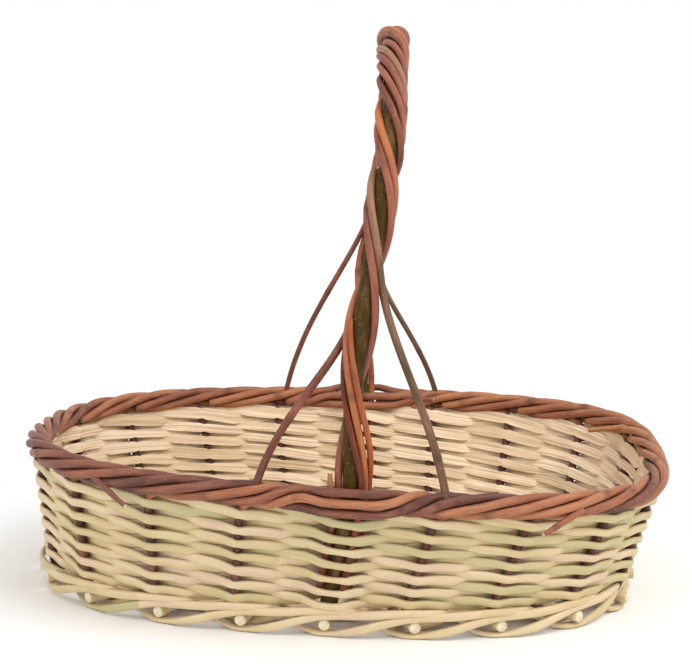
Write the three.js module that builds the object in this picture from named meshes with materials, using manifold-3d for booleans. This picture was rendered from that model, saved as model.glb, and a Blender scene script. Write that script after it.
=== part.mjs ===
// An oval wicker presentation basket, in millimetres, +Z up, standing on Z = 0.
// Brown willow stakes rise from an oval stick base and roll down into a five-strand rope border.
// Pale split cane is twined round them in pairs, and a tall arched handle, wrapped and braced with
// willow rods, stands across the middle of the long sides.
import * as THREE from "three";
import { mergeVertices } from "three/addons/utils/BufferGeometryUtils.js";
import Module from "manifold-3d";

// Driving dimensions: the whole basket
const RIM_LENGTH = 400; // outside the rope border, along X
const RIM_WIDTH = 300; // outside the rope border, along Y
const RIM_TOP = 94; // table to the top of the rope border
const RIM_SQUARENESS = 2.7; // superellipse power of the border's plan: 2 is an ellipse
const BASE_LENGTH = 360; // wall centre line at the base, along X
const BASE_WIDTH = 234; // wall centre line at the base, along Y
const BASE_SQUARENESS = 2.5;
const BASE_TURN = -4.5; // degrees: a handmade skew of the base under the border
const BASE_SHIFT = -5; // the same skew along X
const RIM_SAG = 8; // the border's front dips this much to its right end and rises as much to its left
const RIM_TWIST = 90; // from the middle to where that is all there in front and all gone at the back
const HANDLE_TOP = 351; // table to the top of the wrapped handle
const HANDLE_SET = 5; // the handle's legs stand this far to +X of the middle
const HANDLE_LEAN = 18.5; // the top of the arch leans this much further to +X
const ARCH_SQUARENESS = 2.3;

// Driving dimensions: the pieces
const STAKES = 20; // places round the wall; the two handle legs take two of them
const ROWS = 7; // twined rows up the wall
const BASE_ROWS = 6;
const STRANDS = 5; // strands in the rope border
const STRAND_TURNS = 2; // turns of a strand round the rope from its stake to its tip
const STRAND_START = -0.34; // turns round the rope where a stake enters it: low on its inner side
const ROD = 5.4; // willow rod diameter: stakes, border and handle wrapping
const CORE = 10; // handle core diameter
const STICK = 7; // base stick diameter
const LONG_STICK = 5; // lengthwise base stick diameter where it is threaded through the cross sticks
const CANE = 2.8; // side weaver thickness
const SKIN_SHARE = 0.62; // its rounded skin side's height over its flat split side's
const FACE_SHARE = 0.6; // its height in front of a stake, over the spacing of the rows
const FOOT_CANE = 3; // foot weaver thickness
const FOOT_CANE_HEIGHT = 4.4;
const FLAT_CANE = 3.6; // its thickness where it lies flat under a stick
const BASE_CANE = 1.8; // base weaver thickness
const GAP = 0.3; // between pieces that bear on each other
const WRAP_GAP = 0.45; // the same between rods that wind round each other
const STICK_PROUD = 7; // base stick end beyond the wall's centre line
const STAKE_TAIL = 26; // stake foot pushed into the base beside its stick
const STAKE_BEND = 8; // radius of a stake's bend out of the base
const BORDER_BEND = 5; // and of its bend into the border
const WRAP_DEPTH = 56; // wrapping rod ends pushed down into the wall below the border
const WRAP_STRAIGHT = 9; // straight length of these rods above the border
const HANDLE_TURNS = 5; // turns of the wrapping from foot to foot
const TURN_EASE = 0.3; // how much the wrapping tightens towards the top of the arch
const BRACE_SPREAD = 54; // brace feet from the handle, along the border
const BRACE_BUTT = 5.2; // brace rod diameter at its front foot
const BRACE_TIP = 3.8; // and at its back foot
const HUB_PITCH = 25; // cross stick spacing where they are threaded
const FLAT_REST = 4; // half length of the flat that each foot loop stands on

// Facets
const ROD_SIDES = 5;
const CORE_SIDES = 8;
const STICK_SIDES = 6;
const CORE_STEPS = 52;
const STEPS_PER_TURN = 17;
const ROPE_STEPS = 10; // round one turn of a border strand

// Derived sizes
const TAU = Math.PI * 2;
const rodRadius = ROD / 2;
const stickRadius = STICK / 2;
const ropeRadius = (ROD + WRAP_GAP) / (2 * Math.sin(Math.PI / STRANDS)); // strand centres
const ropeHalf = ropeRadius + rodRadius;
const rimZ = RIM_TOP - ropeHalf;
const baseZ = FLAT_CANE + GAP + stickRadius; // stick centres above the table, on flat foot weavers
const overLift = stickRadius + GAP + FOOT_CANE_HEIGHT / 2; // foot weaver over a stick
const footTop = baseZ + overLift + FOOT_CANE_HEIGHT / 2 + 6 * GAP;
const lowShare = (0.5 + FACE_SHARE) / 2; // a row's reach below its middle, over the spacing of the rows
const rowPitch = (rimZ - ropeHalf - footTop) / (ROWS - 0.5 + lowShare);
const firstRow = footTop + lowShare * rowPitch;
const faceHeight = rowPitch * FACE_SHARE;
const crossHeight = rowPitch / 2 - 1.5 * GAP; // weaver height where a pair crosses
const pairLift = rowPitch / 4; // a pair's weavers above and below the middle of their row
const wrapReach = (CORE + ROD) / 2 + WRAP_GAP; // wrapping rod centres from the core's centre
const handleZ = HANDLE_TOP - wrapReach - rodRadius; // arch centre line at its top
const wallSlope = (RIM_WIDTH / 2 - ropeHalf - BASE_WIDTH / 2) / (rimZ - baseZ);

// Materials
const finish = (color, roughness) => new THREE.MeshStandardMaterial({ color, roughness, metalness: 0 });
const caneFinish = finish(0xdcc894, 0.6);
const rodFinish = finish(0x7a4632, 0.55);
const wrapFinish = finish(0x8a4a30, 0.5);
const coreFinish = finish(0x5a4a24, 0.6);
const stickFinish = finish(0xd8c090, 0.7);

const basket = new THREE.Group();
function add(name, geometry, material) {
  const mesh = new THREE.Mesh(geometry, material);
  mesh.name = name;
  basket.add(mesh);
}
const numbered = (name, number) => `${name}_${String(number).padStart(2, "0")}`;
const upBy = (point, rise) => point.clone().setZ(point.z + rise);

// Skins rings of points, all with the same count, into one closed body with flat ends.
function skin(rings) {
  const count = rings[0].length;
  const last = rings.length - 1;
  const faces = [];
  for (let r = 0; r < last; r++) {
    for (let p = 0; p < count; p++) {
      const next = (p + 1) % count;
      const [a, b] = [rings[r][p], rings[r][next]];
      const [c, d] = [rings[r + 1][next], rings[r + 1][p]];
      faces.push(a, b, c, a, c, d);
    }
  }
  for (let p = 1; p < count - 1; p++) {
    faces.push(rings[0][0], rings[0][p + 1], rings[0][p]);
    faces.push(rings[last][0], rings[last][p], rings[last][p + 1]);
  }
  return new THREE.BufferGeometry().setFromPoints(faces);
}

// A rod along points. Its half width and half height are functions of the share of the way along.
function rod(points, sides, halfWidth, halfHeight = halfWidth) {
  const last = points.length - 1;
  const side = new THREE.Vector3();
  const rings = points.map((point, i) => {
    const along = points[Math.min(i + 1, last)].clone().sub(points[Math.max(i - 1, 0)]).normalize();
    if (i === 0) side.crossVectors(along, new THREE.Vector3(0.02, 0.03, 1));
    side.addScaledVector(along, -side.dot(along)).normalize();
    const other = new THREE.Vector3().crossVectors(along, side);
    const corner = (s) => {
      const angle = (TAU * s) / sides;
      return point.clone()
        .addScaledVector(side, halfWidth(i / last) * Math.cos(angle))
        .addScaledVector(other, halfHeight(i / last) * Math.sin(angle));
    };
    return Array.from({ length: sides }, (_, s) => corner(s));
  });
  return skin(rings);
}
const roundRod = (points, radius, sides = ROD_SIDES) => rod(points, sides, () => radius);

// A superellipse walked by share of its length: share 0 is the middle of the front, going to +X.
function oval(length, width, power) {
  const SAMPLES = 2880;
  const bend = (value) => Math.sign(value) * Math.abs(value) ** (2 / power);
  const points = Array.from({ length: SAMPLES + 1 }, (_, i) => {
    const angle = (TAU * i) / SAMPLES - Math.PI / 2;
    return new THREE.Vector2((length / 2) * bend(Math.cos(angle)), (width / 2) * bend(Math.sin(angle)));
  });
  const walked = [0];
  for (let i = 1; i <= SAMPLES; i++) walked.push(walked[i - 1] + points[i].distanceTo(points[i - 1]));
  const perimeter = walked[SAMPLES];
  const at = (share) => {
    const target = (share - Math.floor(share)) * perimeter;
    let low = 0;
    let high = SAMPLES;
    while (high - low > 1) {
      const middle = (low + high) >> 1;
      if (walked[middle] <= target) low = middle;
      else high = middle;
    }
    return points[low].clone().lerp(points[high], (target - walked[low]) / (walked[high] - walked[low]));
  };
  return { at, perimeter };
}

// The wall's centre surface: share goes round it, height goes up it from the table.
const rimOval = oval(RIM_LENGTH - 2 * ropeHalf, RIM_WIDTH - 2 * ropeHalf, RIM_SQUARENESS);
const baseOval = oval(BASE_LENGTH, BASE_WIDTH, BASE_SQUARENESS);
const riseOf = (height) => (height - baseZ) / (rimZ - baseZ);
function onBase(x, y) {
  const turn = THREE.MathUtils.degToRad(BASE_TURN);
  const turned = new THREE.Vector2(x, y).rotateAround(new THREE.Vector2(), turn);
  return turned.setX(turned.x + BASE_SHIFT);
}
function wallCentre(share, height) {
  const low = baseOval.at(share);
  const high = rimOval.at(share);
  const plan = onBase(low.x, low.y).lerp(high, riseOf(height));
  const tilt = RIM_SAG * THREE.MathUtils.smoothstep(-high.y, -RIM_TWIST, RIM_TWIST);
  const sagged = THREE.MathUtils.clamp((height - footTop) / (rimZ - ropeHalf - footTop), 0, 1);
  return new THREE.Vector3(plan.x, plan.y, height - (tilt * sagged * high.x) / (RIM_LENGTH / 2));
}
function wallAlong(share, height) {
  const STEP = 0.002;
  return wallCentre(share + STEP, height).sub(wallCentre(share - STEP, height)).normalize();
}
// Frames on the wall: outward is square to the leaning wall, or level for the foot and the border.
function wallFrame(share, height) {
  const along = wallAlong(share, height);
  const rise = wallCentre(share, height + 1).sub(wallCentre(share, height - 1));
  const outward = new THREE.Vector3().crossVectors(along, rise).normalize();
  const up = outward.clone().cross(along).multiplyScalar(rise.z / 2); // rows are lower where it dips
  return { centre: wallCentre(share, height), outward, up };
}
function levelFrame(share, height, level) {
  const along = wallAlong(share, level);
  const outward = new THREE.Vector3(along.y, -along.x, 0).normalize();
  const centre = upBy(wallCentre(share, level), height - level);
  return { centre, outward, up: new THREE.Vector3(0, 0, 1) };
}
const footFrame = (share, height) => levelFrame(share, height, baseZ);
const perimeterAt = (height) =>
  THREE.MathUtils.lerp(baseOval.perimeter, rimOval.perimeter, riseOf(height));
const shareOf = (distance, height) => distance / perimeterAt(height);
const stakeShare = (stake) => stake / STAKES;
const spacing = rimOval.perimeter / STAKES;
const baseSpacing = baseOval.perimeter / STAKES;
const isLeg = (stake) => stake % (STAKES / 2) === 0;
// From a leg's place to the handle: +X is forwards along the front and backwards along the back.
const legSet = (stake) => (stake % STAKES === 0 ? HANDLE_SET : -HANDLE_SET);

// A weaver along the wall: its outward side is as tall as the inward side times outerShare.
function weaver(stations, frameAt, outerShare) {
  const corners = [[-1, 1], [1, outerShare], [1, -outerShare], [-1, -1]];
  return skin(stations.map(({ share, height, out, tall, thick }) => {
    const { centre, outward, up } = frameAt(share, height);
    return corners.map(([across, above]) => centre.clone()
      .addScaledVector(outward, out + (across * thick) / 2)
      .addScaledVector(up, (above * tall) / 2));
  }));
}
const PAIR = ["a", "b"];
const inFront = (stake, strand) => ((stake + strand) % 2 === 0 ? 1 : -1);

// Twined rows: in each pair one weaver is low in front of a stake and one high behind it. They swap in
// each space, where the weaver that comes out passes over the one that goes in.
const stakeReach = rodRadius + GAP + CANE / 2;
const legReach = (CORE / 2 + GAP + CANE / 2) / (1 - (1.5 * HANDLE_SET) / baseSpacing) + GAP;
const reachOf = (stake) => (isLeg(stake) ? legReach : stakeReach);
function joinStake(row, strand) {
  // The two ends of a weaver butt behind a stake, at another stake in each row.
  const stake = 2 * ((3 * row + 5 * strand) % (STAKES / 2)) + 1 - strand;
  return isLeg(stake) ? stake + 2 : stake;
}
function sideWeaver(row, strand) {
  const BUTT = 0.02;
  const LEG_LIFT = 0.2; // its lift at a handle leg, over that at a stake
  const EASE = 0.3; // how far a weaver sinks past its lift before it swaps, over the lift
  const height = firstRow + row * rowPitch;
  const first = joinStake(row, strand);
  const stations = [];
  for (let stake = first; stake <= first + STAKES; stake++) {
    const side = inFront(stake, strand);
    const butt = stake === first ? BUTT : stake === first + STAKES ? -BUTT : 0;
    const out = side * reachOf(stake);
    const lift = side * pairLift;
    const faceLift = isLeg(stake) ? LEG_LIFT * lift : lift;
    const face = { height: height - faceLift, tall: faceHeight, thick: CANE };
    stations.push({ ...face, share: stakeShare(stake + butt), out });
    if (stake === first + STAKES) break;
    const goes = { share: stakeShare(stake + 1 / 3), height: height - (1 + EASE) * lift, out: out / 2 };
    const comes = { share: stakeShare(stake + 2 / 3), height: height - (1 - EASE) * lift };
    comes.out = (-side * reachOf(stake + 1)) / 2;
    [goes, comes].forEach((at) => stations.push({ ...at, tall: crossHeight, thick: CANE }));
  }
  return weaver(stations, wallFrame, SKIN_SHARE);
}
for (let row = 0; row < ROWS; row++) {
  PAIR.forEach((letter, strand) =>
    add(`side_weaver_${row + 1}${letter}`, sideWeaver(row, strand), caneFinish));
}

// Foot row: a pair that goes over and under the base stick ends. A weaver rises outside from under a
// stick to over the next. The other stays high to the middle of the space, then dives inside and under.
const stickSet = (stake) => (isLeg(stake) ? legSet(stake) : rodRadius + stickRadius + GAP);
const stickShare = (stake) => stakeShare(stake) + shareOf(stickSet(stake), baseZ);
const footOut = (stake) => (isLeg(stake) ? CORE / 2 : rodRadius) + 5 * GAP + FOOT_CANE / 2;
const standing = { tall: FOOT_CANE_HEIGHT, thick: FOOT_CANE };
const flatUnder = { height: FLAT_CANE / 2, tall: FLAT_CANE, thick: FOOT_CANE_HEIGHT };
const RISEN = 2.3; // a rising weaver above the sticks' centres, in the middle of a space
const DIVE_OUT = 1.5; // a diving weaver from the wall's centre line, just inside the rising one
const DIVE_START = 0.6; // where it is inside, over the space
const DIVE_END = 0.79; // and where it is down, just before the next stake's foot
const UNDER_OUT = 3.5; // from the wall's centre line to the flats that the basket stands on
function footLoop(stake, strand) {
  if (inFront(stake, strand) < 0) return { ...flatUnder, out: UNDER_OUT };
  return { ...standing, height: baseZ + overLift, out: footOut(stake) + overLift * wallSlope };
}
function footSpace(stake, strand) {
  const share = (way) => THREE.MathUtils.lerp(stickShare(stake), stickShare(stake + 1), way);
  const between = (footOut(stake) + footOut(stake + 1)) / 2;
  const high = baseZ + RISEN + FOOT_CANE_HEIGHT + 2 * GAP;
  if (inFront(stake, strand) < 0)
    return [{ ...standing, share: share(0.5), height: baseZ + RISEN, out: between + FOOT_CANE / 2 }];
  return [
    { ...standing, share: share(0.5), height: high, out: between + GAP },
    { ...standing, share: share(DIVE_START), height: high - GAP, out: DIVE_OUT },
    { ...flatUnder, share: share(DIVE_END), height: FLAT_CANE / 2 + GAP, out: DIVE_OUT / 2 },
  ];
}
function footWeaver(strand) {
  const BUTT = 0.02;
  const first = 4 + 9 * strand;
  const last = first + STAKES;
  const flat = shareOf(FLAT_REST, baseZ);
  const stations = [];
  for (let stake = first; stake <= last; stake++) {
    const loop = footLoop(stake, strand);
    const before = stake === first ? stakeShare(BUTT) : -flat;
    const after = stake === last ? -stakeShare(BUTT) : flat;
    stations.push({ ...loop, share: stickShare(stake) + before });
    stations.push({ ...loop, share: stickShare(stake) + after });
    if (stake < last) stations.push(...footSpace(stake, strand));
  }
  return weaver(stations, footFrame, 1);
}
PAIR.forEach((letter, strand) => add(`foot_weaver_${letter}`, footWeaver(strand), caneFinish));

// Rope border: a strand is somewhere round the rope's centre line, so far out and so far up from it.
const legFlat = wrapReach + rodRadius + WRAP_GAP; // half length where the rope parts round a handle leg
const legPart = CORE / 2 + rodRadius + 2 * WRAP_GAP; // how far it parts
const LEG_PARTS = [3.2, 3.2, 2.4, 2.8, 2.8]; // where each strand leaves the rope, over that half length
const HELD = [1.5, 4.8]; // its twist is held back beside a leg and made up between these, over the same
const strandLength = STRANDS * spacing;
const turnLength = strandLength / STRAND_TURNS;
function ropePoint(distance, out, up) {
  const { centre, outward } = levelFrame(distance / rimOval.perimeter, rimZ + up, rimZ);
  return centre.addScaledVector(outward, out);
}
function fromNearestLeg(distance) {
  const half = rimOval.perimeter / 2;
  const round = Math.round(distance / half);
  return distance - round * half - legSet((round * STAKES) / 2);
}
function strandOffset(stake, distance) {
  const beside = fromNearestLeg(distance);
  const held = 1 - THREE.MathUtils.smoothstep(Math.abs(beside), HELD[0] * legFlat, HELD[1] * legFlat);
  const phase = (distance - held * beside - stake * spacing) / turnLength; // turns, under the rope outwards
  const angle = TAU * (STRAND_START + phase);
  const free = new THREE.Vector2(Math.cos(angle), Math.sin(angle)).multiplyScalar(ropeRadius);
  const order = Math.round((STRAND_TURNS * (distance - beside - stake * spacing)) / spacing) - 1;
  const slot = THREE.MathUtils.euclideanModulo(order, STRANDS); // 0 to 2 outside the leg, 3 and 4 inside
  const level = (ROD + 2 * WRAP_GAP) * (slot < 3 ? slot - 1 : 3.5 - slot);
  const parted = new THREE.Vector2((slot < 3 ? legPart : -legPart) + Math.min(level, 0) * wallSlope, level);
  return parted.lerp(free, THREE.MathUtils.smoothstep(Math.abs(beside), legFlat, LEG_PARTS[slot] * legFlat));
}

// Stakes: in from the base beside a stick, up the wall, and over into the rope for two turns.
// A stake whose follower would be a handle leg runs on for two more in its place.
function spoke(stake) {
  const edge = wallCentre(stickShare(stake), baseZ);
  const hub = hubOf(stake % STAKES);
  const inward = hub.clone().sub(edge);
  const length = inward.length();
  return { edge, hub, length, inward: inward.normalize() };
}
function borderDistances(from, to) {
  const coarse = turnLength / ROPE_STEPS;
  const distances = [];
  for (let at = from; at < to - coarse / 3;) {
    distances.push(at);
    at += Math.abs(fromNearestLeg(at)) < HELD[1] * legFlat + coarse ? coarse / 3 : coarse;
  }
  return [...distances, to];
}
function stakePoints(stake) {
  const BEND_MIDDLE = 0.3;
  const { inward } = spoke(stake);
  const foot = wallCentre(stakeShare(stake), baseZ);
  const insets = [STAKE_TAIL, STAKE_BEND, STAKE_BEND * BEND_MIDDLE];
  const tail = insets.map((inset) => foot.clone().addScaledVector(inward, inset));
  tail[2].z += STAKE_BEND * BEND_MIDDLE;
  const neck = rimZ - ropeRadius - BORDER_BEND;
  const heights = [baseZ + STAKE_BEND, (baseZ + neck) / 2, neck];
  const upright = heights.map((height) => wallCentre(stakeShare(stake), height));
  const begin = stake * spacing;
  const inner = (ropeRadius * Math.cos(TAU * STRAND_START)) / 2;
  const bend = ropePoint(begin + BORDER_BEND * BEND_MIDDLE, inner, -ropeRadius - BORDER_BEND * BEND_MIDDLE);
  const lengths = isLeg(stake + STRANDS) ? 2 : 1;
  const run = borderDistances(begin + BORDER_BEND, begin + lengths * strandLength - STAKE_BEND);
  const border = run.map((distance) => {
    const { x: out, y: up } = strandOffset(stake, distance);
    return ropePoint(distance, out, up);
  });
  return [...tail, ...upright, bend, ...border];
}

// Base sticks: seven cross sticks, split in the middle, with three long sticks threaded through the splits
const splitHeight = LONG_STICK / 2 + GAP; // half
const splitWidth = 1.5 * (LONG_STICK + 2 * GAP); // half
const hubWidth = splitWidth + 2 * stickRadius;
const CROSS = [-3, -2, -1, 0, 1, 2, 3];
const LONG = [-1, 0, 1];
const SPLIT_WALL = 0.9; // wood over and under a split, over the stick's radius
const quarter = STAKES / 4;
const hubLength = HUB_PITCH * 3 + stickRadius * 3;
function hubOf(stake) {
  const half = STAKES / 2;
  const side = (stake + 3) % STAKES < half ? 1 : -1; // front and right, or back and left
  const place = ((stake + 3) % half) - 3; // -3 to 3 for a cross stick, 4 to 6 for a long one
  const lane = (place - quarter) * (LONG_STICK + 2 * GAP);
  const plan = place <= 3 ? [place * HUB_PITCH, -hubWidth] : [hubLength, lane];
  const { x, y } = onBase(side * plan[0], side * plan[1]);
  return new THREE.Vector3(x, y, baseZ);
}
const stickEnd = ({ edge, inward }) => edge.clone().addScaledVector(inward, -STICK_PROUD);

const wasm = await Module();
wasm.setup();
function toSolid(geometry) {
  const bare = new THREE.BufferGeometry().setIndex(geometry.index);
  const merged = mergeVertices(bare.setAttribute("position", geometry.getAttribute("position")), 1e-3);
  const vertProperties = merged.getAttribute("position").array;
  return new wasm.Manifold(new wasm.Mesh({ numProp: 3, vertProperties, triVerts: merged.index.array }));
}
function toGeometry(solid) {
  const { vertProperties, triVerts } = solid.getMesh();
  const geometry = new THREE.BufferGeometry();
  geometry.setAttribute("position", new THREE.BufferAttribute(vertProperties, 3));
  return geometry.setIndex(new THREE.BufferAttribute(triVerts, 1));
}
function crossStick(place) {
  const front = spoke((place + STAKES) % STAKES);
  const back = spoke(STAKES / 2 - place);
  const swell = [-splitWidth, splitWidth].map((y) => {
    const plan = onBase(place * HUB_PITCH, y);
    return new THREE.Vector3(plan.x, plan.y, baseZ);
  });
  const points = [stickEnd(front), front.hub, ...swell, back.hub, stickEnd(back)];
  const swollen = splitHeight + stickRadius * SPLIT_WALL;
  const halfHeights = [stickRadius, stickRadius, swollen, swollen, stickRadius, stickRadius];
  const halfHeight = (share) => halfHeights[Math.round(share * 5)];
  const whole = toSolid(rod(points, STICK_SIDES, () => stickRadius, halfHeight));
  const middle = swell[0].clone().lerp(swell[1], 0.5);
  const split = new THREE.BoxGeometry(4 * STICK, 2 * splitWidth, 2 * splitHeight);
  split.rotateZ(THREE.MathUtils.degToRad(BASE_TURN)).translate(...middle.toArray());
  return toGeometry(whole.subtract(toSolid(split)));
}
function longStick(lane) {
  const right = spoke(quarter + lane);
  const left = spoke(3 * quarter - lane);
  const radii = [stickRadius, LONG_STICK / 2, LONG_STICK / 2, stickRadius];
  const points = [stickEnd(left), left.hub, right.hub, stickEnd(right)];
  return rod(points, STICK_SIDES, (share) => radii[Math.round(share * 3)]);
}
CROSS.forEach((place, i) => add(`cross_stick_${i + 1}`, crossStick(place), stickFinish));
LONG.forEach((lane, i) => add(`long_stick_${i + 1}`, longStick(lane), stickFinish));

// Base weavers: flat rows over and under the sticks, each row opposite to the next
const EDGE_INSET = STAKE_BEND;
const HUB_INSET = 15;
function baseWeaver(row) {
  const BUTT = 0.04;
  const stations = [];
  for (let stake = 1; stake <= STAKES + 1; stake++) {
    const { edge, length, inward } = spoke(stake);
    const pitch = (length - EDGE_INSET - HUB_INSET) / BASE_ROWS;
    const inset = EDGE_INSET + pitch * (row + 0.5);
    const meetsTails = inset - pitch / 2 < STAKE_TAIL + GAP;
    const centre = edge.clone().addScaledVector(inward, inset);
    stations.push({ centre, inward, wide: pitch - 2 * GAP, extra: meetsTails ? 5 * GAP : 0 });
  }
  const last = stations.length - 1;
  const clear = stickRadius + GAP + BASE_CANE / 2;
  const lifts = stations.map(({ centre, extra }, i) => {
    const before = stations[i > 0 ? i - 1 : last - 1].centre;
    const after = stations[i < last ? i + 1 : 1].centre;
    const half = Math.min(before.distanceTo(centre), after.distanceTo(centre)) / 2;
    return inFront(i + 1, row) * (clear / Math.sqrt(1 - (clear / half) ** 2) + extra);
  });
  stations.forEach(({ centre }, i) => centre.setZ(baseZ + lifts[i]));
  stations[0].centre.lerp(stations[1].centre, BUTT);
  stations[last].centre.lerp(stations[last - 1].centre, BUTT);
  return skin(stations.map(({ centre, inward, wide }) =>
    [[1, 1], [-1, 1], [-1, -1], [1, -1]].map(([across, up]) =>
      upBy(centre, (up * BASE_CANE) / 2).addScaledVector(inward, (across * wide) / 2))));
}
for (let row = 0; row < BASE_ROWS; row++) add(`base_weaver_${row + 1}`, baseWeaver(row), caneFinish);
for (let stake = 0; stake < STAKES; stake++) {
  if (!isLeg(stake)) add(numbered("stake", stake), roundRod(stakePoints(stake), rodRadius), rodFinish);
}

// Handle core: from a base stick up the front wall, over the arch, and down the back wall
const footHeight = baseZ + stickRadius + GAP + (CORE / 2) * wallSlope;
function legPoint(stake, height) {
  return wallCentre(stakeShare(stake) + shareOf(legSet(stake), height), height);
}
const LEAN_SPAN = [0.1, 0.85]; // the lean begins and is all there at these shares of the arch
function archPoint(angle) {
  const bend = (value) => Math.sign(value) * Math.abs(value) ** (2 / ARCH_SQUARENESS);
  const point = legPoint(0, rimZ).lerp(legPoint(STAKES / 2, rimZ), (1 - bend(Math.cos(angle))) / 2);
  point.x += HANDLE_LEAN * THREE.MathUtils.smoothstep(Math.sin(angle), ...LEAN_SPAN);
  return upBy(point, (handleZ - rimZ) * bend(Math.sin(angle)));
}
function handleCurve() {
  const ARCH_POINTS = 24;
  const legHeights = [footHeight, (baseZ + rimZ) / 2, rimZ - ropeHalf];
  const arch = Array.from({ length: ARCH_POINTS + 1 }, (_, i) => archPoint((Math.PI * i) / ARCH_POINTS));
  const front = legHeights.map((height) => legPoint(0, height));
  const back = legHeights.map((height) => legPoint(STAKES / 2, height)).reverse();
  const curve = new THREE.CatmullRomCurve3([...front, ...arch, ...back], false, "centripetal");
  curve.arcLengthDivisions = 2000;
  return curve;
}
const handle = handleCurve();
const handleLength = handle.getLength();
add("handle_core", roundRod(handle.getSpacedPoints(CORE_STEPS), CORE / 2, CORE_SIDES), coreFinish);

// Wrapping: rods wound round the core between the two crossings of the border
const wrapStart = (rimZ + ropeHalf + WRAP_STRAIGHT - footHeight) / handleLength;
const wrapFoot = (rimZ - WRAP_DEPTH - footHeight) / handleLength;
function wound(share) {
  const way = THREE.MathUtils.clamp((share - wrapStart) / (1 - 2 * wrapStart), 0, 1);
  return HANDLE_TURNS * (way - (TURN_EASE * Math.sin(TAU * way)) / TAU);
}
function wrapPoint(share, startTurn) {
  const centre = handle.getPointAt(share);
  const along = handle.getTangentAt(share);
  const across = new THREE.Vector3(1, 0, 0).addScaledVector(along, -along.x).normalize();
  const outward = new THREE.Vector3().crossVectors(across, along);
  const angle = TAU * (startTurn + wound(share));
  return centre
    .addScaledVector(across, wrapReach * Math.cos(angle))
    .addScaledVector(outward, wrapReach * Math.sin(angle));
}
function wrapRun(from, to, startTurn) {
  const steps = Math.round(STEPS_PER_TURN * HANDLE_TURNS * (to - from));
  return Array.from({ length: steps + 1 }, (_, i) =>
    wrapPoint(THREE.MathUtils.lerp(from, to, i / steps), startTurn));
}
// The least gap of a wound rod to itself, between points that lie more than half a turn apart along it
function leastGap(points, diameter) {
  const apart = STEPS_PER_TURN / 2;
  const gaps = points.flatMap((point, i) =>
    points.filter((_, j) => j - i > apart).map((other) => point.distanceTo(other) - diameter));
  return Math.min(...gaps);
}
function wrapRod(name, startTurn) {
  const points = wrapRun(wrapFoot, 1 - wrapFoot, startTurn);
  console.log(`${name}: least gap to itself ${leastGap(points, ROD).toFixed(1)} mm`);
  add(name, roundRod(points, rodRadius), wrapFinish);
}
wrapRod("handle_wrap_right", 0);
wrapRod("handle_wrap_left", 0.5);

// Brace rods: wound with the others over the arch, then off the core to the border at both ends
const besideTurn = (2 * Math.asin((ROD + WRAP_GAP) / (2 * wrapReach))) / TAU;
function shareWound(turns) {
  let [low, high] = [0, 1];
  for (let i = 0; i < 40; i++) {
    const middle = (low + high) / 2;
    if (wound(middle) < turns) low = middle;
    else high = middle;
  }
  return low;
}
function restOnRope(distance, radius) {
  const tops = [];
  for (let stake = 0; stake < STRANDS; stake++) {
    const nearest = Math.floor(distance / spacing) - stake;
    const { x: out, y: up } = strandOffset(nearest, distance);
    const beyond = Math.max(0, Math.abs(out) - radius);
    if (beyond < rodRadius) tops.push(up + Math.sqrt(rodRadius ** 2 - beyond ** 2));
  }
  return ropePoint(distance, 0, Math.max(...tops) + 2 * GAP);
}
function braceRun(share, startTurn, leg, side, radius) {
  const STEPS = 7;
  const NEAR = 0.004; // share of the handle over which its direction is taken
  const PULL = 0.3; // how long it keeps its direction, over its span
  const LEAN_IN = 0.25; // how far its foot leans towards the handle
  const top = wrapPoint(share, startTurn);
  const before = wrapPoint(share + (leg === 0 ? NEAR : -NEAR), startTurn);
  const foot = restOnRope(leg * spacing + legSet(leg) + side * BRACE_SPREAD, radius);
  const span = top.distanceTo(foot);
  const leave = top.clone().addScaledVector(top.clone().sub(before).normalize(), span * PULL);
  const arrive = upBy(foot, span * PULL).lerp(leave, LEAN_IN);
  return new THREE.CubicBezierCurve3(top, leave, arrive, foot).getPoints(STEPS).slice(1);
}
function braceRod(startTurn, frontTurn, backTurn, frontSide, backSide) {
  const from = shareWound(frontTurn - startTurn);
  const to = shareWound(backTurn - startTurn);
  const front = braceRun(from, startTurn, 0, frontSide, BRACE_BUTT / 2).reverse();
  const back = braceRun(to, startTurn, STAKES / 2, backSide, BRACE_TIP / 2);
  const points = [...front, ...wrapRun(from, to, startTurn), ...back];
  return rod(points, ROD_SIDES, (share) => THREE.MathUtils.lerp(BRACE_BUTT, BRACE_TIP, share) / 2);
}
// The turns after which they leave the core: the left one at its left, the right one at its right
const LEFT_LEAVES = [0.625, HANDLE_TURNS - 0.625];
const RIGHT_LEAVES = [1.125, HANDLE_TURNS - 0.125];
add("brace_rod_left", braceRod(besideTurn, ...LEFT_LEAVES, -1, 1), wrapFinish);
add("brace_rod_right", braceRod(0.5 - besideTurn, ...RIGHT_LEAVES, 1, -1), wrapFinish);

export default basket;
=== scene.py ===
"""An oval wicker presentation basket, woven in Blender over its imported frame.

Sizes are in millimetres, as in the part's source, and become metres where a mesh is made.
"""
import bisect
import math
import random

import bmesh
import bpy
from mathutils import Matrix, Vector


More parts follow.
